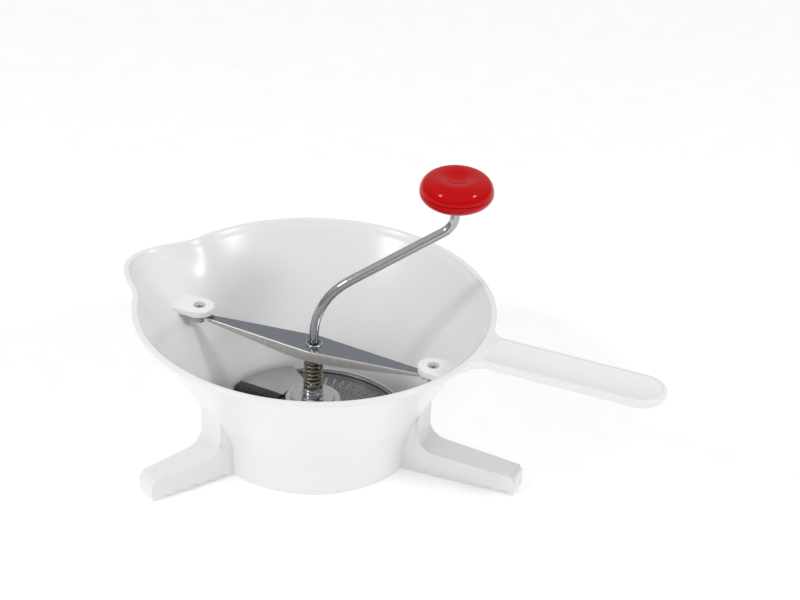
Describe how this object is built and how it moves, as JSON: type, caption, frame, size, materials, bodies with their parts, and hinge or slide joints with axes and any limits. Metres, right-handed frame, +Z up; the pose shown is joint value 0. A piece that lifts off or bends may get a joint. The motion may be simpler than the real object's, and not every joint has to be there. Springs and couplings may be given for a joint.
{
  "type": "rotary potato ricer",
  "caption": "Hand-cranked potato ricer: plastic bowl with pour spout, paddle handle and toothed pot arms, holding a sieve disc, sprung blade, crossbar and bent crank with a turning knob.",
  "frame": {"origin": "centre of the drum's bottom ring, on the surface it stands on", "axes": "+Z up along the crank's shaft; +X towards the handle; -X towards the pour spout"},
  "size_m": [0.3803, 0.24, 0.1951],
  "materials": {
    "white_plastic": "semi-gloss moulded polypropylene",
    "red_plastic": "glossy moulded plastic",
    "sheet_steel": "fine brushed stainless sheet",
    "polished_steel": "polished stainless",
    "hardware_steel": "plain turned and pressed stainless",
    "spring_steel": "drawn spring wire"
  },
  "bodies": {
    "bowl_body": {"bowl": "white_plastic", "sieve_disc": "sheet_steel", "left_lug_screw": "hardware_steel", "right_lug_screw": "hardware_steel", "left_lug_nut": "hardware_steel", "right_lug_nut": "hardware_steel"},
    "bar": {"crossbar": "sheet_steel", "crossbar_stiffener": "sheet_steel", "shaft_bush": "hardware_steel", "upper_spring_washer": "hardware_steel"},
    "spring_seat": {"spring": "spring_steel", "lower_spring_washer": "hardware_steel"},
    "crank": {"crank_rod": "polished_steel", "hub_collar": "polished_steel", "hub_pin": "hardware_steel", "hub_flange": "polished_steel", "blade": "sheet_steel", "blade_washer": "hardware_steel", "retaining_clip": "spring_steel", "knob_washer": "hardware_steel", "knob_push_nut": "spring_steel"},
    "knob": {"knob_base": "red_plastic", "knob_cap": "red_plastic"}
  },
  "joints": [
    {"name": "bar_turn", "type": "hinge", "parent": "bowl_body", "child": "bar", "pos_m": [0, 0, 0.0714], "axis": [0, 0, 1], "range_deg": [0, 60]},
    {"name": "shaft_lift", "type": "slide", "parent": "bar", "child": "spring_seat", "axis": [0, 0, 1], "range_m": [0, 0.008], "stiffness_N_per_m": 1500, "springref_m": -0.01, "deforming": ["spring"]},
    {"name": "crank_turn", "type": "hinge", "parent": "spring_seat", "child": "crank", "pos_m": [0, 0, 0.035], "axis": [0, 0, 1], "continuous": true},
    {"name": "knob_spin", "type": "hinge", "parent": "crank", "child": "knob", "pos_m": [0.07794, 0.045, 0.18], "axis": [0, 0, 1], "continuous": true}
  ]
}
